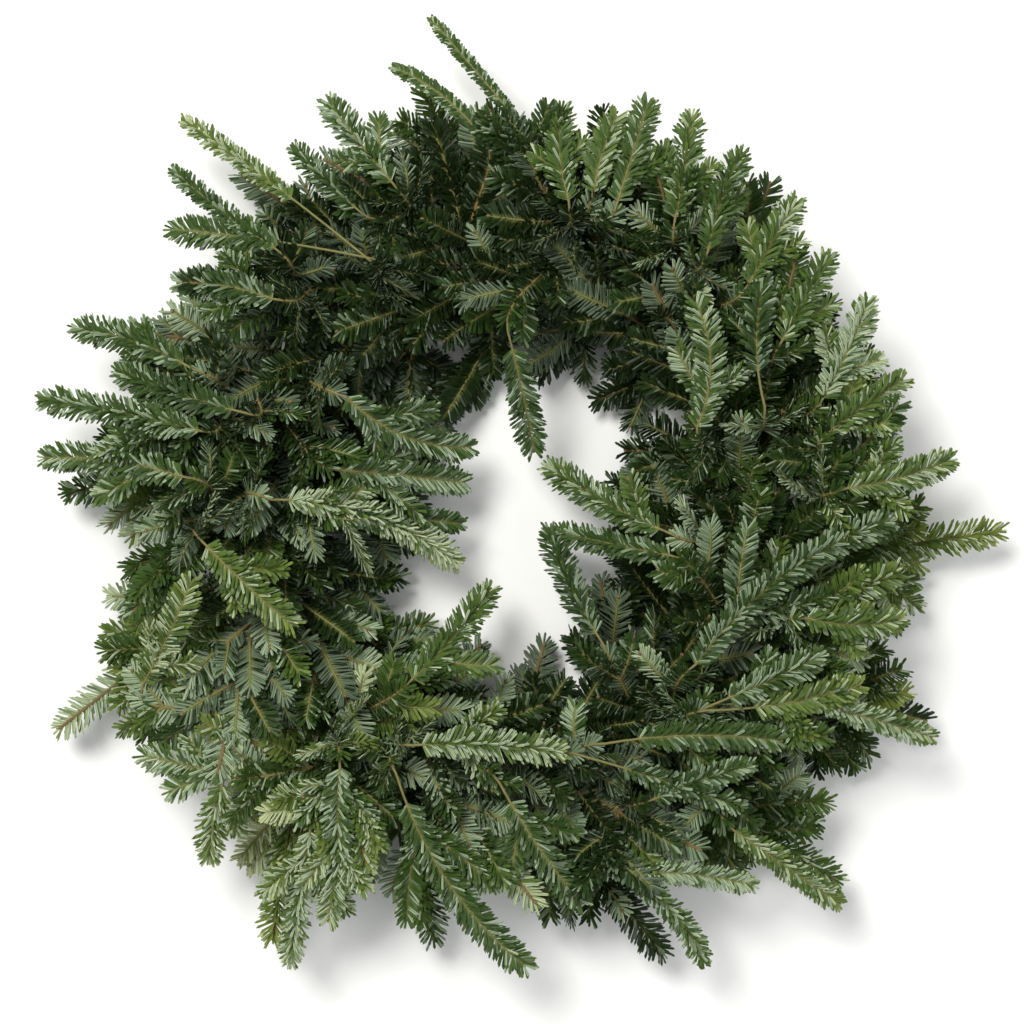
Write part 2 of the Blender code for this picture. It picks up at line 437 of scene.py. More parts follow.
def make_needle_material():
    material, tree, shader = new_material("fir_needles")
    _, u, v = add_map_axes(tree)
    column = add_math(tree, "MULTIPLY", u, TONES / CHART_WIDTH)
    tone = add_math(tree, "DIVIDE", add_math(tree, "FLOOR", column), TONES - 1)
    across = add_math(tree, "FRACT", column)
    is_top = add_math(tree, "GREATER_THAN", v, 0.5)
    along = add_math(tree, "FRACT", add_math(tree, "MULTIPLY", v, 2.0))
    off_middle = add_math(tree, "ABSOLUTE", add_math(tree, "SUBTRACT", across, 0.5))

    top = add_ramp(tree, tone, TOP_TONES)
    # Painted shade and light on the flat top: darker down the middle groove and at the edges,
    # lighter on the flats between them.
    groove_shade_and_light = add_ramp(tree, off_middle, [(0.0, (0.45, 0.45, 0.45)), (0.10, (1.0, 1.0, 1.0)),
                                         (0.34, (1.15, 1.15, 1.15)), (0.5, (0.8, 0.8, 0.8))])
    top = add_mix(tree, 1.0, top, groove_shade_and_light, "MULTIPLY")
    under = add_ramp(tree, tone, UNDER_TONES)
    band = add_ramp(tree, off_middle, [(0.05, (0, 0, 0)), (0.11, (1, 1, 1)), (0.32, (1, 1, 1)),
                                       (0.40, (0, 0, 0))])
    inside = add_ramp(tree, along, [(0.02, (0, 0, 0)), (0.14, (1, 1, 1)), (0.90, (1, 1, 1)),
                                    (0.98, (0, 0, 0))])
    band = add_mix(tree, 1.0, band, inside, "MULTIPLY")
    under = add_mix(tree, band, under, add_ramp(tree, tone, BAND_TONES))
    colour = add_mix(tree, is_top, under, top)
    foot = add_ramp(tree, along, [(0.03, (0.9, 0.9, 0.9)), (0.12, (0.5, 0.5, 0.5)),
                                  (0.34, (0, 0, 0)), (0.90, (0, 0, 0)), (1.0, (0.4, 0.4, 0.4))])
    colour = add_mix(tree, foot, colour, FOOT_COLOUR)
    tree.links.new(colour, shader.inputs["Base Color"])
    rough = add_math(tree, "SUBTRACT", 0.58, add_math(tree, "MULTIPLY", is_top, 0.20))
    tree.links.new(rough, shader.inputs["Roughness"])
    shader.inputs["Specular IOR Level"].default_value = 0.32
    return material


# %% [markdown]
# ## Bark, buds and cut wood
#
# Young fir twigs are yellow-brown and ridged, older ones grey-brown. The bark strip of the map
# runs along every twig, so its streaks follow the wood. The very top of the strip is the pale
# cut face of a stem, and just below it lies the brown resinous bud.

# %% Bark material
def make_bark_material():
    material, tree, shader = new_material("fir_bark")
    uv, u, v = add_map_axes(tree)
    stretch = tree.nodes.new("ShaderNodeMapping")
    stretch.inputs["Scale"].default_value = (60.0, 90.0, 1.0)
    tree.links.new(uv, stretch.inputs["Vector"])
    streaks = tree.nodes.new("ShaderNodeTexNoise")
    streaks.inputs["Scale"].default_value = 1.0
    streaks.inputs["Detail"].default_value = 3.0
    tree.links.new(stretch.outputs[0], streaks.inputs["Vector"])
    age = add_math(tree, "DIVIDE", v, BUD_LOW)
    wood = add_ramp(tree, age, [(0.0, (0.065, 0.046, 0.026)), (0.33, (0.150, 0.110, 0.045)),
                                (0.42, (0.235, 0.125, 0.042)), (0.50, (0.200, 0.160, 0.052)),
                                (1.0, (0.165, 0.195, 0.062))])
    shade = add_ramp(tree, streaks.outputs[0], [(0.3, (0.55, 0.52, 0.5)), (0.7, (1.3, 1.3, 1.3))])
    wood = add_mix(tree, 1.0, wood, shade, "MULTIPLY")
    bud_brown = add_mix(tree, streaks.outputs[0], (0.085, 0.055, 0.022), (0.21, 0.15, 0.060))
    cut_wood = add_mix(tree, streaks.outputs[0], (0.50, 0.30, 0.13), (0.68, 0.48, 0.25))
    is_bud = add_math(tree, "GREATER_THAN", v, (BUD_LOW + 0.005))
    is_cut = add_math(tree, "GREATER_THAN", v, (BUD_HIGH + CUT_WOOD_HEIGHT) / 2)
    colour = add_mix(tree, is_bud, wood, bud_brown)
    colour = add_mix(tree, is_cut, colour, cut_wood)
    tree.links.new(colour, shader.inputs["Base Color"])
    rough = add_math(tree, "SUBTRACT", 0.8, add_math(tree, "MULTIPLY", is_bud, 0.35))
    tree.links.new(rough, shader.inputs["Roughness"])
    bump = tree.nodes.new("ShaderNodeBump")
    bump.inputs["Strength"].default_value = 0.5
    bump.inputs["Distance"].default_value = 0.0003
    tree.links.new(streaks.outputs[0], bump.inputs["Height"])
    tree.links.new(bump.outputs[0], shader.inputs["Normal"])
    return material


needle_material = make_needle_material()
bark_material = make_bark_material()
print("materials:", needle_material.name, bark_material.name)

# %% [markdown]
# ## How a shoot grows
#
# A shoot is a gently curved line with needles all along it. Fir needles stand in a spiral, but
# they twist to both sides, so that a shoot looks like a comb from above: most lie flat out to
# the left and right, some lean up and forward over the twig. Towards the tip they lean ever
# more forward and close round the bud. The first needles of a shoot are the shortest.

# %% Lines of growth
TWIG_CLEARANCE = 0.0035
TWIG_KNEE = 0.068
TWIG_HEADROOM = 0.014


def unit(vectors):
    length = np.linalg.norm(vectors, axis=-1, keepdims=True)
    return vectors / np.maximum(length, 1e-9)


def line_length(line):
    return np.linalg.norm(np.diff(line, axis=0), axis=1).sum()


def hold_low(line):
    """Keep a twig off the floor, and let it level out before it stands out of the wreath."""
    line[:, 2] = np.maximum(line[:, 2], TWIG_CLEARANCE)
    above = np.maximum(line[:, 2] - TWIG_KNEE, 0.0)
    line[:, 2] += TWIG_HEADROOM * np.tanh(above / TWIG_HEADROOM) - above
    return line


def grow_line(start, ahead, up, length, bend, rise, steps=9):
    """A curved line: it turns sideways by bend and upwards by rise, both in radians."""
    points = [np.array(start, float)]
    ahead = unit(np.array(ahead, float))
    up = unit(up - np.dot(up, ahead) * ahead)
    for _ in range(steps):
        side = np.cross(up, ahead)
        ahead = unit(ahead + (side * bend + up * rise) / steps)
        up = unit(up - np.dot(up, ahead) * ahead)
        points.append(points[-1] + ahead * length / steps)
    return hold_low(np.array(points))


def sample_line(line, places):
    """Points and directions at the given lengths along a line of points."""
    steps = np.linalg.norm(np.diff(line, axis=0), axis=1)
    reached = np.concatenate(([0.0], np.cumsum(steps)))
    spots = np.stack([np.interp(places, reached, line[:, k]) for k in range(3)], axis=-1)
    tangents = np.gradient(line, axis=0)
    ahead = np.stack([np.interp(places, reached, tangents[:, k]) for k in range(3)], axis=-1)
    return spots, unit(ahead)


# %% [markdown]
# ## Needles along a line
#
# Light that falls on foliage is used up on its way down, and old needles sit at the bottom. So a
# needle takes a darker tone the deeper it lies under the rounded top of the wreath: partly the
# darker green of old needles, partly painted shade from the foliage above it. A needle near the
# tip of its shoot takes a fresher tone, where the growth is youngest.

# %% Where the needles of a shoot stand
DOME_RADII = (0.030, 0.060, 0.090, 0.120, 0.150, 0.190, 0.230, 0.270, 0.320)
DOME_HEIGHTS = (0.034, 0.050, 0.074, 0.086, 0.091, 0.089, 0.079, 0.065, 0.046)
NEEDLES_PER_METRE = 2400.0
FEWEST_NEEDLES = 8
PLACE_NOISE = 0.4
TIP_GAP = 0.001
NEEDLE_LEAN = math.radians(69.0)
TIP_LEAN = math.radians(30.0)
UPRIGHT_LEAN = 0.22
LEAN_AZIMUTHS = np.radians((4.0, 26.0, 50.0, -14.0, 14.0, 72.0))
AZIMUTH_STRETCH = (0.5, 1.1)
AZIMUTH_NOISE = math.radians(8.0)
LEAN_NOISE = math.radians(6.0)
FACE_OUTWARDS = 0.25
FACE_NOISE = 0.28


def dome_height(points):
    """How high the foliage stands at points of a bunch's own frame."""
    points = np.asarray(points)
    radius = np.hypot(points[..., 0] + ring_radius, points[..., 1])
    return np.interp(radius, DOME_RADII, DOME_HEIGHTS)


def needle_places(length, bare, rng):
    """How far along a shoot each of its needles stands, past the bare stretch at its foot."""
    count = max(FEWEST_NEEDLES, int((length - bare) * NEEDLES_PER_METRE))
    share = (np.arange(count) + rng.uniform(-PLACE_NOISE, PLACE_NOISE, count) + 0.5) / count
    return bare + (length - bare - TIP_GAP) * share


def needle_directions(ahead, up, to_tip, silver, rng):
    """How steeply each needle stands out of the comb, where it points, and what it faces."""
    count = len(ahead)
    index = np.arange(count)
    up = unit(up - (ahead @ up)[:, None] * ahead)
    side = np.cross(up, ahead)
    left = np.where(index % 2 == 0, 1.0, -1.0)[:, None]
    azimuth = LEAN_AZIMUTHS[(index // 2) % len(LEAN_AZIMUTHS)]
    azimuth = azimuth * rng.uniform(*AZIMUTH_STRETCH) + rng.normal(0, AZIMUTH_NOISE, count)
    lean = NEEDLE_LEAN + (TIP_LEAN - NEEDLE_LEAN) * to_tip ** 2 - UPRIGHT_LEAN * np.abs(azimuth)
    lean = lean + rng.normal(0, LEAN_NOISE, count)
    outward = left * np.cos(azimuth)[:, None] * side + np.sin(azimuth)[:, None] * up
    away = unit(np.cos(lean)[:, None] * ahead + np.sin(lean)[:, None] * outward)
    face = up + FACE_OUTWARDS * outward + rng.normal(0, FACE_NOISE, (count, 3))
    twisted = rng.random(count) < silver
    face = np.where(twisted[:, None], -face, face)
    face = unit(face - (face * away).sum(axis=1)[:, None] * away)
    return azimuth, away, face


# %% The needles of a shoot
FLOOR_GAP = 0.0004
NEEDLE_LENGTH = 0.0132
LENGTH_RANGE = (0.86, 1.10)
NEEDLE_WIDTH = 0.0017
WIDTH_RANGE = (0.88, 1.10)
TIP_ZONE = 0.014
TIP_SHORTER = 0.30
FOOT_ZONE = 0.016
FOOT_START = 0.35
FOOT_SHORTER = 0.38
UPRIGHT_SHORTER = 0.22
FORWARD_CURL = 0.13
FACE_CURL = (-0.02, 0.13)
DEEP = 0.050
DEPTH_SHADE_TONES = 6.2
YOUNG_STRETCH = 0.030
YOUNG_TONES = 2.6
TONE_NOISE = 1.3


def needle_cloud(line, up, tone, rng, bare, size, silver):
    """All needles of one shoot: their corner points and their tones."""
    length = line_length(line)
    places = needle_places(length, bare, rng)
    count = len(places)
    spots, ahead = sample_line(line, places)
    to_tip = np.clip(1.0 - (length - places) / TIP_ZONE, 0.0, 1.0)
    azimuth, away, face = needle_directions(ahead, up, to_tip, silver, rng)
    across = np.cross(away, face)
    from_foot = np.clip((places - bare) / FOOT_ZONE, FOOT_START, 1.0)
    reach = NEEDLE_LENGTH * size * (1.0 - FOOT_SHORTER * (1.0 - from_foot))
    reach = reach * (1.0 - TIP_SHORTER * to_tip)
    reach = reach * (1.0 - UPRIGHT_SHORTER * np.sin(np.abs(azimuth)))
    reach = reach * rng.uniform(*LENGTH_RANGE, count)
    width = NEEDLE_WIDTH * rng.uniform(*WIDTH_RANGE, count)
    curl = ahead * FORWARD_CURL + face * rng.uniform(*FACE_CURL, (count, 1))

    x, y, z = needle_points.T
    points = spots[:, None, :] + away[:, None, :] * (z[None, :, None] * reach[:, None, None])
    points = points + across[:, None, :] * (x[None, :, None] * width[:, None, None])
    points = points + face[:, None, :] * (y[None, :, None] * width[:, None, None])
    points = points + curl[:, None, :] * (z[None, :, None] ** 2 * reach[:, None, None])
    sink = np.maximum(FLOOR_GAP - points[..., 2].min(axis=1), 0.0)
    points[..., 2] = np.maximum(points[..., 2] + sink[:, None] * z[None], FLOOR_GAP * 0.5)
    # Painted shade: a needle gets a darker tone the deeper it lies under the top of the foliage,
    # partly for older needles and partly for the shade above them.
    depth = np.clip((dome_height(spots) - spots[:, 2]) / DEEP, 0.0, 1.0)
    young = np.clip(1.0 - (length - places) / YOUNG_STRETCH, 0.0, 1.0)
    tones = tone + rng.normal(0, TONE_NOISE, count) - DEPTH_SHADE_TONES * depth + YOUNG_TONES * young
    return points, np.clip(np.round(tones), 0, TONES - 1).astype(int)


# %% The buds of a shoot
BUDS = [
    {"lean": 0.0, "size": 0.0024},
    {"lean": 0.8, "size": 0.0018},
    {"lean": -0.8, "size": 0.0018},
]
BUD_SINK = 0.001
BUD_RANGE = (0.85, 1.15)


def bud_cloud(line, up, rng):
    """One bud at the tip of a line and two smaller ones beside it."""
    tip = line[-1]
    ahead = unit(line[-1] - line[-2])
    up = unit(up - np.dot(up, ahead) * ahead)
    side = np.cross(up, ahead)
    groups = []
    for shape in BUDS:
        axis = unit(ahead + side * shape["lean"])
        size = shape["size"] * rng.uniform(*BUD_RANGE)
        bud_axes = np.stack((np.cross(up, axis), up, axis))
        groups.append(tip - ahead * BUD_SINK + (bud_points * size) @ bud_axes)
    return groups


# %% [markdown]
# ## Twigs
#
# The wood of a spray is a family of tapered tubes. A curve with a round bevel is the natural
# tool: each point has its own radius, and converting it gives a closed tube for every twig. The
# map needs to know how far along its twig each corner lies, so each corner looks up the nearest
# point of the curve that it came from. Ages run up the bark strip: 0 is old grey-brown wood at
# the cut end, 1 is the green tip of this year's growth.

# %% Tubes for the wood of one spray
TWIG_BEVEL = 0.001
MAIN_RADII = (2.0, 1.0)
MAIN_AGES = (0.05, 0.36)
SIDE_RADII = (1.05, 0.6)
SIDE_AGES = (0.45, 0.95)
YOUNG_AGES = (0.6, 1.0)
LONG_RADII = (1.1, 0.5)
LONG_AGES = (0.40, 0.95)


def twig_meshes(name, twigs):
    """Convert all twigs of a spray, each (line, radii, ages), to one mesh with its map."""
    curve = bpy.data.curves.new(name, "CURVE")
    curve.dimensions = "3D"
    curve.bevel_depth = TWIG_BEVEL
    curve.bevel_resolution = 1
    curve.use_fill_caps = True
    spots, ages = [], []
    for line, radii, twig_ages in twigs:
        spline = curve.splines.new("POLY")
        spline.points.add(len(line) - 1)
        shares = np.linspace(0.0, 1.0, len(line))
        for point, place, share in zip(spline.points, line, shares):
            point.co = (*place, 1.0)
            point.radius = radii[0] + (radii[1] - radii[0]) * share
        spots.append(line)
        ages.append(twig_ages[0] + (twig_ages[1] - twig_ages[0]) * shares)
    holder = bpy.data.objects.new(name, curve)
    bpy.context.scene.collection.objects.link(holder)
    bpy.ops.object.select_all(action="DESELECT")
    holder.select_set(True)
    bpy.context.view_layer.objects.active = holder
    bpy.ops.object.convert(target="MESH")
    mesh = bpy.context.object.data
    points = np.array([v.co[:] for v in mesh.vertices])
    corners = np.array([loop.vertex_index for loop in mesh.loops])
    totals = np.array([p.loop_total for p in mesh.polygons])
    bpy.data.objects.remove(bpy.context.object)

    spots, ages = np.concatenate(spots), np.concatenate(ages)
    gaps = ((points[:, None, :] - spots[None]) ** 2).sum(axis=2)
    nearest = gaps.argmin(axis=1)
    away = points - spots[nearest]
    turn = (np.arctan2(away[:, 2], away[:, 0]) / math.tau) % 1.0
    u = BARK_LEFT + (BARK_RIGHT - BARK_LEFT) * np.abs(turn * 2 - 1)
    v = ages[nearest] * BUD_LOW
    uv = np.stack((u[corners], v[corners]), axis=-1)
    faces_start = np.concatenate(([0], np.cumsum(totals)[:-1]))
    for start, total in zip(faces_start, totals):
        is_butt = total > 4 and nearest[corners[start]] == 0
        if is_butt:
            uv[start:start + total, 1] = CUT_WOOD_HEIGHT
    return points, corners, totals, uv


# %% [markdown]
# ## How a spray grows
#
# A cut spray is a small flat tree: a main twig with pairs of side shoots, the longer ones with
# pairs of their own, and a few short shoots that stand up from it. Each spray is grown in its
# own bunch's frame, on the slope of its CAD solid, and only then moved to its place.
#
# Two edges keep the outline: what would close the hole or pass the rim is cut off. Both are
# given as distances from the ring's centre, one for each bunch, and even slopes join them.

# %% The main twig
SPRAY_UP = np.array((0.0, -0.35, 1.0))
BEND_STEPS = 8
STRAIGHT_STEPS = 10
SLOPE_ONSET = 1.2
FROND_SIDE = BEND_LENGTH * 0.75
HOLE_EDGE = [
    0.066, 0.092, 0.085, 0.080, 0.062, 0.048, 0.044, 0.045, 0.098, 0.075, 0.092, 0.076, 0.072,
    0.062,
]
HOLE_EDGE_TURN = 0.25
OUTLINE_MARGIN = NEEDLE_LENGTH * 0.7
RIM_EDGE = [
    0.268, 0.250, 0.266, 0.258, 0.266, 0.250, 0.264, 0.278, 0.284, 0.290, 0.278, 0.274, 0.285,
    0.290,
]
MAIN_TRIM = {"inner": -0.004, "face": 0.003, "crown": 0.003, "outer": -0.003}
RIM_TRIM = {0: 0.010, 2: 0.010, 3: 0.040, 4: 0.034, 5: 0.014, 6: 0.010, 7: 0.004}


def slope_of(node, bunch, lane_offset):
    """Fit height = a + b * along + c * sideways to the frond of a CAD spray."""
    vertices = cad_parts[node].data.vertices
    points = to_bunch(np.array([v.co[:] for v in vertices]), bunch)
    sideways = np.abs(points[:, 0] - lane_offset)
    frond = (points[:, 1] > BEND_LENGTH) | (sideways > FROND_SIDE)
    table = np.stack((np.ones(frond.sum()), points[frond, 1], sideways[frond]), axis=-1)
    return np.linalg.lstsq(table, points[frond, 2], rcond=None)[0]


def beside_ring(offset, along):
    turn = along / ring_radius
    radius = ring_radius + offset
    return radius * math.cos(turn) - ring_radius, radius * math.sin(turn)


def main_line(node, bunch, family, heading, reach):
    """The main twig from its cut end to its tip, in the bunch's frame."""
    offset, lane_height = LANES[family]
    a, b, c = slope_of(node, bunch, offset)
    base = ring_centre[2] + lane_height
    flat = [beside_ring(offset, y) for y in np.linspace(-STEM_BEHIND, STEM_AHEAD, 5)]
    heights = [base] * len(flat)
    x, y = flat[-1]
    now = -STEM_AHEAD / ring_radius
    beyond = reach - MAIN_TRIM[family]
    if family == "outer":
        beyond -= RIM_TRIM.get(bunch, 0.0)
    turn = (heading - now) / BEND_STEPS
    for step in range(BEND_STEPS + STRAIGHT_STEPS):
        in_bend = step < BEND_STEPS
        stride = BEND_LENGTH / BEND_STEPS if in_bend else beyond / STRAIGHT_STEPS
        now = now + turn / 2 if in_bend else heading
        x, y = x + math.sin(now) * stride, y + math.cos(now) * stride
        now = now + turn / 2 if in_bend else heading
        share = min(1.0, (step + 1) / BEND_STEPS)
        on_slope = a + b * y + c * abs(x - offset)
        flat.append((x, y))
        heights.append(base + (on_slope - base) * share ** SLOPE_ONSET)
    return hold_low(np.array([(x, y, z) for (x, y), z in zip(flat, heights)]))


def edge_distance(points, bunch, edge, turned=0.0):
    """How far from the ring's centre an edge runs, in the direction of each point."""
    turn = np.arctan2(points[:, 1], points[:, 0] + ring_radius) - turned
    place = bunch + turn / math.tau * BUNCH_COUNT
    return np.interp(place, np.arange(BUNCH_COUNT), edge, period=BUNCH_COUNT)


def keep_in_outline(line, bunch, margin=OUTLINE_MARGIN):
    """Cut a shoot off where its needles would close the hole or pass the rim."""
    radius = np.hypot(line[:, 0] + ring_radius, line[:, 1])
    hole = edge_distance(line, bunch, HOLE_EDGE, HOLE_EDGE_TURN)
    rim = edge_distance(line, bunch, RIM_EDGE)
    beyond = (radius < hole + margin) | (radius > rim - margin)
    return line[:beyond.argmax()] if beyond.any() else line


# %% [markdown]
# ## Side shoots
#
# A side shoot can't be longer than its age and its light allow: it grows with the way from the
# bend, shrinks towards the tip, and has a widest value on each side. So the frond tapers at both
# ends, like the solid that it replaces. Some shoots climb, some droop, and each one rolls a
# little, which is what keeps a flat spray from looking cut out of paper.

# %% Side shoots
SHOOT_ANGLE = math.radians(46.0)
SHOOT_ANGLE_NOISE = math.radians(6.0)
PAIR_SPACING = 0.022
FIRST_PAIR = -0.022
PAIR_NOISE = 0.004
SHORTEST_SHOOT = 0.020
FEWEST_POINTS = 4
FOOT_TAPER, FOOT_START_LENGTH = 0.80, 0.016
TIP_TAPER, TIP_START_LENGTH = 0.62, 0.012
LENGTH_NOISE = (0.78, 1.14)
CURVE_IN = 0.18
CURVE_NOISE = (0.5, 1.5)
RISE_NOISE = 0.12
ROLL_NOISE = 0.45
DROOP_LENGTH = 0.080
TWO_STOREY_LENGTH = 0.050
SECOND_ROOT = 0.40
SECOND_LENGTH = 0.48
UPPER_ROOTS = np.array((0.10, 0.36, 0.62))
UPPER_LIFT = math.radians(24.0)
UPPER_LENGTHS = (0.034, 0.056)
UPPER_RISE = -0.35
UPPER_LIFT_NOISE = 0.1
UPPER_SWAY = 1.2
SHOOT_CLIMBS = np.radians((0.0, 12.0, -8.0, 22.0, 6.0))
CLIMB_NOISE = 0.07
SHOOT_RULES = {
    "inner": {"holewards": 0.046, "rimwards": 0.050, "leader": 0.026, "droop": -0.05},
    "face": {"holewards": 0.052, "rimwards": 0.066, "leader": 0.030, "droop": -0.05},
    "crown": {"holewards": 0.060, "rimwards": 0.090, "leader": 0.034, "droop": -0.30},
    "outer": {"holewards": 0.066, "rimwards": 0.070, "leader": 0.046, "droop": -0.10},
}


def child_shoots(line, bunch, up, root_places, length_of, rng, droop=0.0):
    """Pairs of shoots that leave a line at the given places, as (line, up) pairs."""
    shoots = []
    spots, ahead = sample_line(line, np.asarray(root_places))
    for index, (spot, forward) in enumerate(zip(spots, ahead)):
        level = unit(up - np.dot(up, forward) * forward)
        side = np.cross(level, forward)
        for hand in (1.0, -1.0):
            length = length_of(index, hand) * rng.uniform(*LENGTH_NOISE)
            if length < SHORTEST_SHOOT:
                continue
            turn = SHOOT_ANGLE + rng.normal(0, SHOOT_ANGLE_NOISE)
            climb = SHOOT_CLIMBS[rng.integers(len(SHOOT_CLIMBS))] + rng.normal(0, CLIMB_NOISE)
            outward = hand * math.cos(climb) * side + math.sin(climb) * level
            start_ahead = math.cos(turn) * forward + math.sin(turn) * outward
            bend = -hand * CURVE_IN * rng.uniform(*CURVE_NOISE)
            rise = rng.normal(0.0, RISE_NOISE) + droop * length / DROOP_LENGTH
            child = grow_line(spot, start_ahead, level, length, bend, rise)
            child = keep_in_outline(child, bunch)
            if len(child) < FEWEST_POINTS:
                continue
            roll = rng.normal(0, ROLL_NOISE)
            tilted = math.cos(roll) * level + math.sin(roll) * side
            shoots.append((child, tilted))
    return shoots


def spray_shoots(main, bunch, family, reach, rng):
    """All shoots of a spray: pairs on the main twig, pairs on those, and a few on top."""
    rule = SHOOT_RULES[family]
    frond_start = BOUND_LENGTH + BEND_LENGTH
    roots = np.arange(FIRST_PAIR, reach - rule["leader"], PAIR_SPACING)
    roots = roots + rng.uniform(-PAIR_NOISE, PAIR_NOISE, len(roots))

    def first_length(index, hand):
        root = roots[index]
        widest = rule["holewards"] if hand > 0 else rule["rimwards"]
        from_foot = FOOT_TAPER * (root + BEND_LENGTH) + FOOT_START_LENGTH
        from_tip = TIP_TAPER * (reach - root) + TIP_START_LENGTH
        return min(from_foot, from_tip, widest)

    first = child_shoots(main, bunch, SPRAY_UP, frond_start + roots, first_length, rng,
                         rule["droop"])
    second = []
    for line, level in first:
        length = line_length(line)
        if length > TWO_STOREY_LENGTH:
            sub_length = length * SECOND_LENGTH
            second += child_shoots(line, bunch, level, [length * SECOND_ROOT],
                                   lambda i, hand: sub_length, rng)
    spots, ahead = sample_line(main, frond_start + UPPER_ROOTS * reach)
    upper = []
    for spot, forward in zip(spots, ahead):
        side = np.cross(SPRAY_UP, forward)
        lift = UPPER_LIFT + rng.normal(0, UPPER_LIFT_NOISE)
        sway = rng.uniform(-UPPER_SWAY, UPPER_SWAY)
        start = math.cos(lift) * forward + math.sin(lift) * (unit(SPRAY_UP) + sway * unit(side))
        line = grow_line(spot, start, SPRAY_UP, rng.uniform(*UPPER_LENGTHS), 0.0, UPPER_RISE)
        line = keep_in_outline(line, bunch)
        if len(line) > FEWEST_POINTS:
            upper.append((line, SPRAY_UP))
    return first, second, upper


# %% [markdown]
# ## The long shoots on top
#
# A maker finishes by teasing out the longest shoots, and they give this wreath its own face:
# bare yellow twigs that fork at the upper left, tips that hang into the hole, and long combs
# that cross the lower right. Each is described by the place where it comes to the surface, the
# place of its tip and its tone. Some start with a bare stretch, have needles of another size, or
# show more of their silver side. Underneath, each one rises in a smooth curve from the main twig
# of the nearest crown spray. Only the larger ones fork.

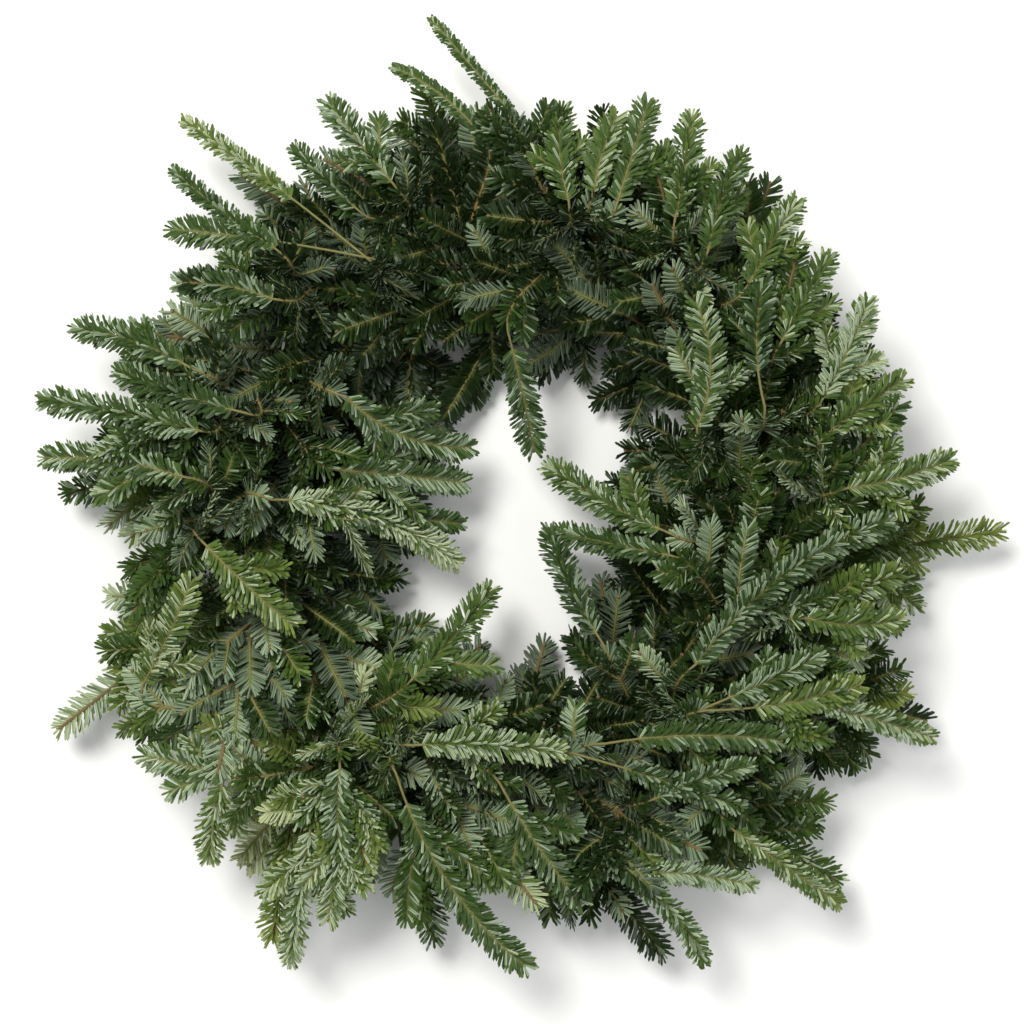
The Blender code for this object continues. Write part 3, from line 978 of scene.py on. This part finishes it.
# %% The long shoots
USUAL_SHOOT = {"bare": 0.0, "silver": 0.15, "size": 0.90}
FORKED_SIZE = 0.80
LONG_SHOOTS = [
    {"from": (-0.093, 0.145), "to": (-0.214, 0.165), "bare": 0.055, "tone": 7.0},
    {"from": (-0.093, 0.145), "to": (-0.209, 0.235), "bare": 0.062, "silver": 0.40, "tone": 12.0,
     "size": 0.62},
    {"from": (0.000, 0.229), "to": (-0.055, 0.298), "tone": 7.0, "size": 0.42},
    {"from": (-0.025, 0.223), "to": (-0.078, 0.266), "tone": 7.0, "size": 0.48},
    {"from": (0.108, 0.042), "to": (0.107, 0.118), "silver": 0.50, "tone": 8.0},
    {"from": (0.149, 0.054), "to": (0.149, 0.132), "bare": 0.022, "tone": 4.0},
    {"from": (0.107, -0.102), "to": (0.226, -0.015), "silver": 0.50, "tone": 5.0},
    {"from": (0.113, -0.130), "to": (0.208, -0.116), "bare": 0.030, "tone": 12.0},
    {"from": (0.116, -0.127), "to": (0.183, -0.097), "bare": 0.012, "silver": 0.50, "tone": 6.0},
    {"from": (0.175, -0.074), "to": (0.234, -0.075), "tone": 10.0},
    {"from": (-0.150, -0.002), "to": (-0.040, -0.041), "bare": 0.010, "silver": 0.70, "tone": 11.0},
    {"from": (-0.180, -0.171), "to": (-0.232, -0.160), "silver": 0.50, "tone": 8.0},
    {"from": (-0.180, -0.171), "to": (-0.192, -0.224), "bare": 0.006, "silver": 0.50, "tone": 11.0},
    {"from": (-0.075, -0.168), "to": (0.004, -0.291), "bare": 0.020, "tone": 7.0},
    {"from": (-0.012, -0.174), "to": (0.038, -0.249), "bare": 0.014, "tone": 6.0},
    {"from": (0.091, -0.022), "to": (0.019, 0.019), "bare": 0.006, "tone": 9.0},
    {"from": (-0.007, 0.101), "to": (0.009, 0.029), "bare": 0.012, "tone": 5.0},
    {"from": (-0.065, -0.111), "to": (-0.018, -0.058), "tone": 9.0},
    {"from": (0.051, -0.090), "to": (0.019, -0.021), "bare": 0.008, "tone": 4.0},
    {"from": (-0.190, -0.030), "to": (-0.138, -0.078), "tone": 11.0},
    {"from": (-0.065, -0.151), "to": (0.025, -0.155), "bare": 0.006, "silver": 0.50, "tone": 10.0},
    {"from": (-0.109, -0.165), "to": (-0.106, -0.240), "silver": 0.50, "tone": 7.0},
    {"from": (-0.168, 0.051), "to": (-0.246, 0.076), "bare": 0.006, "tone": 5.0},
    {"from": (-0.195, 0.040), "to": (-0.296, 0.060), "silver": 0.40, "tone": 7.0},
    {"from": (-0.200, 0.078), "to": (-0.274, 0.104), "bare": 0.006, "tone": 6.5},
    {"from": (-0.205, 0.012), "to": (-0.294, 0.024), "silver": 0.30, "tone": 7.0},
    {"from": (-0.150, 0.152), "to": (-0.215, 0.203), "tone": 6.0, "size": 0.60},
    {"from": (-0.150, 0.120), "to": (-0.209, 0.131), "silver": 0.30, "tone": 5.0},
    {"from": (-0.105, 0.060), "to": (-0.031, 0.031), "silver": 0.30, "tone": 5.0},
    {"from": (-0.110, 0.016), "to": (-0.034, 0.009), "silver": 0.30, "tone": 6.0},
    {"from": (-0.105, -0.014), "to": (-0.037, -0.017), "silver": 0.10, "tone": 4.0, "size": 0.75},
    {"from": (-0.078, 0.192), "to": (-0.118, 0.244), "silver": 0.40, "tone": 7.0},
    {"from": (-0.100, 0.176), "to": (-0.138, 0.214), "silver": 0.20, "tone": 5.0, "size": 0.75},
    {"from": (0.092, -0.036), "to": (0.024, -0.022), "silver": 0.20, "tone": 6.0, "size": 0.75},
    {"from": (0.040, -0.158), "to": (0.135, -0.190), "bare": 0.024, "silver": 0.30, "tone": 4.5,
     "size": 0.75},
    {"from": (0.082, -0.184), "to": (0.141, -0.164), "silver": 0.45, "tone": 5.0, "size": 0.75},
    {"from": (0.052, -0.150), "to": (0.160, -0.149), "bare": 0.020, "silver": 0.10, "tone": 6.5,
     "size": 0.80},
    {"from": (0.132, -0.205), "to": (0.200, -0.254), "silver": 0.30, "tone": 11.0, "size": 0.75},
    {"from": (0.066, -0.230), "to": (0.144, -0.240), "silver": 0.80, "tone": 8.0, "size": 0.70},
    {"from": (0.066, -0.232), "to": (0.115, -0.290), "silver": 0.30, "tone": 8.0, "size": 0.70},
    {"from": (0.186, -0.128), "to": (0.256, -0.149), "silver": 0.60, "tone": 9.0, "size": 0.75},
    {"from": (-0.112, -0.196), "to": (-0.118, -0.262), "silver": 0.60, "tone": 10.0},
    {"from": (-0.128, -0.205), "to": (-0.143, -0.290), "silver": 0.60, "tone": 10.0, "size": 0.80},
    {"from": (0.030, 0.180), "to": (0.026, 0.238), "tone": 9.0},
    {"from": (0.045, 0.185), "to": (0.060, 0.234), "silver": 0.20, "tone": 10.0},
    {"from": (0.060, 0.180), "to": (0.079, 0.243), "silver": 0.10, "tone": 8.0},
    {"from": (0.095, 0.170), "to": (0.106, 0.234), "tone": 9.0},
    {"from": (0.115, 0.150), "to": (0.137, 0.211), "silver": 0.10, "tone": 7.0},
    {"from": (0.140, 0.130), "to": (0.170, 0.181), "tone": 10.0},
    {"from": (0.160, 0.095), "to": (0.190, 0.147), "silver": 0.10, "tone": 9.0},
    {"from": (0.185, 0.060), "to": (0.214, 0.119), "silver": 0.70, "tone": 9.0},
    {"from": (0.190, 0.040), "to": (0.236, 0.072), "tone": 10.0},
    {"from": (0.200, 0.005), "to": (0.266, 0.023), "silver": 0.30, "tone": 10.0},
    {"from": (-0.231, -0.115), "to": (-0.200, -0.052), "silver": 0.50, "tone": 11.0},
]


# %% The way of a long shoot
CROWN_AHEAD = 0.45
SURFACING_LENGTH = 0.024
SURFACING_DEPTH = 0.006
ROOT_DEPTH = 0.030
FIRST_FREE_POINT = 10
LEAVING = np.array((0.45, 0.45, 0.15))
SWAY = 0.05
ARCH = 0.003


def on_dome(spot, bunch):
    """The place on the rounded top of the foliage above a spot, in a bunch's own frame."""
    place = to_bunch(np.array((*spot, 0.0)), bunch)
    place[2] = dome_height(place)
    return place


def home_bunch(shoot):
    """The bunch whose crown spray runs under the start of a long shoot."""
    x, y = np.array(shoot["from"]) - ring_centre[:2]
    ahead = math.atan2(y, x) - FIRST_BUNCH_ANGLE - CROWN_AHEAD
    return round(ahead / math.tau * BUNCH_COUNT) % BUNCH_COUNT


def long_shoot(shoot, main, bunch, rng):
    """The way up of a long shoot from its root on the main twig, and its line on top."""
    start = on_dome(shoot["from"], bunch)
    end = on_dome(shoot["to"], bunch)
    shares = np.linspace(0.0, 1.0, 12)[:, None]
    side = np.cross((end - start), STRAIGHT_UP) * rng.normal(0, SWAY)
    arc = start + (end - start) * shares + side * (shares * (1 - shares) * 4)
    arc[:, 2] += ARCH * np.sin(shares[:, 0] * math.pi)

    behind = start + unit(start - end) * SURFACING_LENGTH
    free = main[FIRST_FREE_POINT:]
    root = free[np.linalg.norm(free - (behind - STRAIGHT_UP * ROOT_DEPTH), axis=1).argmin()]
    leave = root + (start - root) * LEAVING
    arrive = behind - STRAIGHT_UP * SURFACING_DEPTH
    t = np.linspace(0.0, 1.0, 10)[:-1, None]
    way_up = (1 - t) ** 3 * root + 3 * (1 - t) ** 2 * t * leave + 3 * (1 - t) * t ** 2 * arrive \
        + t ** 3 * start
    return way_up, arc


# %% [markdown]
# ## Which needles show their silver side
#
# A maker turns some cuttings over, so their silvery undersides face out. On this wreath that
# happens most at the lower left, while the upper right shows the dark green top. So each spray
# draws its turn and its tone with odds that depend on where it sits round the ring. The side
# tones are lighter or darker steps at eight places round the ring, counted from +X.

# %% Tone and turn of a spray
SILVER_ANGLE = math.radians(225.0)
FOLIAGE_AHEAD = 0.3
FAMILY_TONES = {"inner": 5.4, "face": 3.0, "crown": 4.0, "outer": 11.4}
SIDE_TONES = (3.6, -3.6, -1.4, -4.8, 2.4, 4.0, -1.8, -0.8)
SPRAY_TONE_NOISE = 1.2
SPRAY_TURNED_ODDS, SPRAY_SILVER_ODDS = 0.04, 0.16


def spray_mood(bunch, family, rng):
    """The middle tone of a spray, whether its underside is up, and how near the silver side is."""
    angle = bunch_angle(bunch) + FOLIAGE_AHEAD
    towards_silver = (0.5 + 0.5 * math.cos(angle - SILVER_ANGLE)) ** 1.5
    turned = rng.random() < SPRAY_TURNED_ODDS + SPRAY_SILVER_ODDS * towards_silver
    sides = len(SIDE_TONES)
    side_tone = np.interp(angle / math.tau * sides, np.arange(sides), SIDE_TONES, period=sides)
    tone = FAMILY_TONES[family] + side_tone
    return tone + rng.normal(0, SPRAY_TONE_NOISE), turned, towards_silver


# %% [markdown]
# ## Putting a spray together
#
# A spray's growth is a set of lists that fill up shoot by shoot: twigs, needles with their tones,
# and buds. At the end they are joined to one mesh, needles first, then buds, then wood, so that
# the face number alone tells which finish a face has.

# %% Dressing a shoot
MOST_TWISTED = 0.22
SHOOT_TONE_NOISE = 2.6
SHOOT_TURNED_ODDS, SHOOT_SILVER_ODDS = 0.12, 0.20
BUD_ODDS = 0.5


def new_growth(bunch, family, rng):
    tone, turned, towards_silver = spray_mood(bunch, family, rng)
    return {"rng": rng, "tone": tone, "turned": turned, "towards_silver": towards_silver,
            "twigs": [], "needles": [], "tones": [], "buds": []}


def add_needles(growth, line, level, bare, size=1.0, silver=None, tone=None):
    """Put needles and perhaps buds on a line; silver and tone follow the spray if not given."""
    rng = growth["rng"]
    facing = level
    if silver is None:
        odds = SHOOT_TURNED_ODDS + SHOOT_SILVER_ODDS * growth["towards_silver"]
        over = growth["turned"] != (rng.random() < odds)
        facing = -level if over else level
        silver = rng.uniform(0.0, MOST_TWISTED)
        tone = growth["tone"] + rng.normal(0, SHOOT_TONE_NOISE)
    needles, tones = needle_cloud(line, facing, tone, rng, bare, size, silver)
    growth["needles"].append(needles)
    growth["tones"].append(tones)
    if not growth["buds"] or rng.random() < BUD_ODDS:
        growth["buds"].extend(bud_cloud(line, level, rng))


# %% Dressing a long shoot
WAY_UP_BARE = 0.006
HIDDEN_ROOTS = (0.3, 0.7)
HIDDEN_LENGTH = 0.036
HIDDEN_DROOP = -0.2
HIDDEN_SIZE = 0.90
FORK_PLACES = (0.12, 0.30)
FORK_LENGTH = 0.55
FORK_DROOP = -0.3
FORK_SIZE = 0.88
YOUNG_BARE = 0.003


def add_long_shoot(growth, shoot, main, bunch):
    """One long shoot: its comb on top, and side shoots on its way up and at its fork."""
    rng = growth["rng"]
    shoot = USUAL_SHOOT | shoot
    way_up, line = long_shoot(shoot, main, bunch, rng)
    growth["twigs"].append((np.concatenate((way_up, line)), LONG_RADII, LONG_AGES))
    add_needles(growth, way_up, STRAIGHT_UP, WAY_UP_BARE)
    add_needles(growth, line, STRAIGHT_UP, shoot["bare"], shoot["size"], shoot["silver"],
                shoot["tone"])
    roots = [line_length(way_up) * place for place in HIDDEN_ROOTS]
    for twig, level in child_shoots(way_up, bunch, STRAIGHT_UP, roots,
                                    lambda i, hand: HIDDEN_LENGTH, rng, HIDDEN_DROOP):
        growth["twigs"].append((twig[::2], SIDE_RADII, YOUNG_AGES))
        add_needles(growth, twig, level, YOUNG_BARE, HIDDEN_SIZE)
    if shoot["size"] < FORKED_SIZE:
        return
    length = line_length(line)
    fork = shoot["bare"] + (length - shoot["bare"]) * rng.uniform(*FORK_PLACES)
    side_length = (length - fork) * FORK_LENGTH
    for twig, level in child_shoots(line, bunch, STRAIGHT_UP, [fork],
                                    lambda i, hand: side_length, rng, FORK_DROOP):
        growth["twigs"].append((twig, SIDE_RADII, YOUNG_AGES))
        add_needles(growth, twig, level, YOUNG_BARE, FORK_SIZE, shoot["silver"], shoot["tone"])


# %% Joining a spray
BUD_INSET = 0.01


def copies(groups, faces, first_point):
    """Face corners for copies of a pattern that follow each other in one point list."""
    size = groups.shape[1]
    offsets = first_point + np.arange(len(groups)) * size
    return (faces[None] + offsets[:, None, None]).reshape(-1)


def bud_uv(count):
    """UV corners for the given number of buds, inside the bud field of the bark strip."""
    corners = bud_points[bud_faces]
    u = BARK_LEFT + (BARK_RIGHT - BARK_LEFT) * (corners[..., 0] + 0.5)
    field = BUD_HIGH - BUD_LOW - 2 * BUD_INSET
    v = BUD_LOW + BUD_INSET + field * corners[..., 2].clip(0, 1)
    return np.tile(np.stack((u, v), axis=-1).reshape(-1, 2), (count, 1))


def join_growth(growth, name):
    """Points, face corners, face sizes and UV corners of a spray, and which faces aren't needles."""
    needles, buds = np.concatenate(growth["needles"]), np.array(growth["buds"])
    wood, wood_corners, wood_totals, wood_uv = twig_meshes(name, growth["twigs"])
    first_bud = needles.shape[0] * needles.shape[1]
    first_wood = first_bud + buds.shape[0] * buds.shape[1]
    points = np.concatenate((needles.reshape(-1, 3), buds.reshape(-1, 3), wood))
    corners = np.concatenate((copies(needles, needle_faces, 0),
                              copies(buds, bud_faces, first_bud), wood_corners + first_wood))
    needle_count = len(needles) * len(needle_faces)
    small_faces = needle_count + len(buds) * len(bud_faces)
    totals = np.concatenate((np.full(small_faces, 3), wood_totals))
    needle_corners = needle_uv(np.concatenate(growth["tones"])).reshape(-1, 2)
    uv = np.concatenate((needle_corners, bud_uv(len(buds)), wood_uv))
    return points, corners, totals, uv, np.arange(len(totals)) >= needle_count


def build_piece(name, points, corners, totals, uv, not_needle):
    """One mesh object out of arrays; buds and wood are smooth and get the bark finish."""
    mesh = bpy.data.meshes.new(name)
    mesh.vertices.add(len(points))
    mesh.vertices.foreach_set("co", points.ravel().astype(np.float32))
    mesh.loops.add(len(corners))
    mesh.loops.foreach_set("vertex_index", corners.astype(np.int32))
    mesh.polygons.add(len(totals))
    starts = np.concatenate(([0], np.cumsum(totals)[:-1]))
    mesh.polygons.foreach_set("loop_start", starts.astype(np.int32))
    mesh.polygons.foreach_set("material_index", not_needle.astype(np.int32))
    mesh.update(calc_edges=True)
    layer = mesh.uv_layers.new(name=MAP_NAME)
    layer.data.foreach_set("uv", uv.ravel().astype(np.float32))
    mesh.polygons.foreach_set("use_smooth", not_needle)
    mesh.materials.append(needle_material)
    mesh.materials.append(bark_material)
    mesh.validate()
    piece = bpy.data.objects.new(name, mesh)
    bpy.context.scene.collection.objects.link(piece)
    return piece


# %% One whole spray
FIRST_SEED = 1000
MAIN_BARE = BOUND_LENGTH + 0.006
SIDE_BARES = (0.004, 0.004, 0.012)
YOUNG_SIZE = 0.92


def grow_spray(bunch, family, heading, reach):
    """Grow one spray in the place of its CAD solid; gives its number of faces."""
    node = f"{family}_spray_{bunch + 1:02d}"
    rng = np.random.default_rng(FIRST_SEED + bunch * 10 + list(LANES).index(family))
    main = main_line(node, bunch, family, math.radians(heading), reach)
    if family == "inner":
        main = keep_in_outline(main, bunch, 0.0)
        reach = line_length(main) - STEM_BEHIND - STEM_AHEAD - BEND_LENGTH
    first, second, upper = spray_shoots(main, bunch, family, reach, rng)
    growth = new_growth(bunch, family, rng)
    growth["twigs"].append((main, MAIN_RADII, MAIN_AGES))
    add_needles(growth, main, SPRAY_UP, MAIN_BARE)
    for line, level in first:
        growth["twigs"].append((line, SIDE_RADII, SIDE_AGES))
        add_needles(growth, line, level, rng.choice(SIDE_BARES))
    for line, level in second + upper:
        growth["twigs"].append((line[::2], SIDE_RADII, YOUNG_AGES))
        add_needles(growth, line, level, YOUNG_BARE, YOUNG_SIZE)
    for shoot in LONG_SHOOTS:
        if family == "crown" and home_bunch(shoot) == bunch:
            add_long_shoot(growth, shoot, main, bunch)

    points, corners, totals, uv, not_needle = join_growth(growth, node + "_wood")
    points = to_world(points, bunch)
    points[:, 2] = np.maximum(points[:, 2], FLOOR_GAP * 0.5)
    piece = build_piece("fir_" + node, points, corners, totals, uv, not_needle)
    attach(piece, "root")
    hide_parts(node)
    return len(totals)


# %% Grow all sprays
HABIT_SEED = 14
chance = random.Random(HABIT_SEED)
face_total = 0
for bunch in range(BUNCH_COUNT):
    for family, (usual_heading, usual_reach) in HABITS.items():
        heading = usual_heading + chance.uniform(-HEADING_SPREAD, HEADING_SPREAD)
        reach = usual_reach * (1.0 + chance.uniform(-REACH_SPREAD, REACH_SPREAD))
        if family == "outer":
            heading, reach = RIM_HABITS[bunch]
        if family == "inner":
            reach = HOLE_REACHES[bunch]
        face_total += grow_spray(bunch, family, heading, reach)
print("faces in all sprays:", face_total)

# %% [markdown]
# ## Ring wire and binding wire
#
# They keep their CAD solids, with a dark green enamel that is a little uneven. From the face the
# foliage hides them, but the back shows them.

# %% Wire finishes
WIRE_FINISHES = {
    "wire_ring": {"name": "ring_enamel", "colour": (0.02, 0.06, 0.03), "roughness": 0.3},
    "binding_wire": {"name": "binding_enamel", "colour": (0.03, 0.09, 0.04), "roughness": 0.25},
}


def make_enamel(name, colour, roughness):
    material, tree, shader = new_material(name)
    place = tree.nodes.new("ShaderNodeTexCoord")
    specks = tree.nodes.new("ShaderNodeTexNoise")
    specks.inputs["Scale"].default_value = 140.0
    specks.inputs["Detail"].default_value = 4.0
    tree.links.new(place.outputs["Object"], specks.inputs["Vector"])
    darker = tuple(c * 0.6 for c in colour)
    tree.links.new(add_mix(tree, specks.outputs[0], darker, colour), shader.inputs["Base Color"])
    rough = add_math(tree, "MULTIPLY_ADD", specks.outputs[0], 0.25)
    rough.node.inputs[2].default_value = roughness
    tree.links.new(rough, shader.inputs["Roughness"])
    return material


for node, finish in WIRE_FINISHES.items():
    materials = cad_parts[node].data.materials
    materials.clear()
    materials.append(make_enamel(**finish))
print("wires finished:", ", ".join(WIRE_FINISHES))

# %% Print the sizes
visual_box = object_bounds()
low, high = (np.array(corner) for corner in visual_box)
print("visual box in mm:", np.round((high - low) * 1000, 1), np.round((high - cad_high) * 1000, 1),
      np.round((low - cad_low) * 1000, 1))
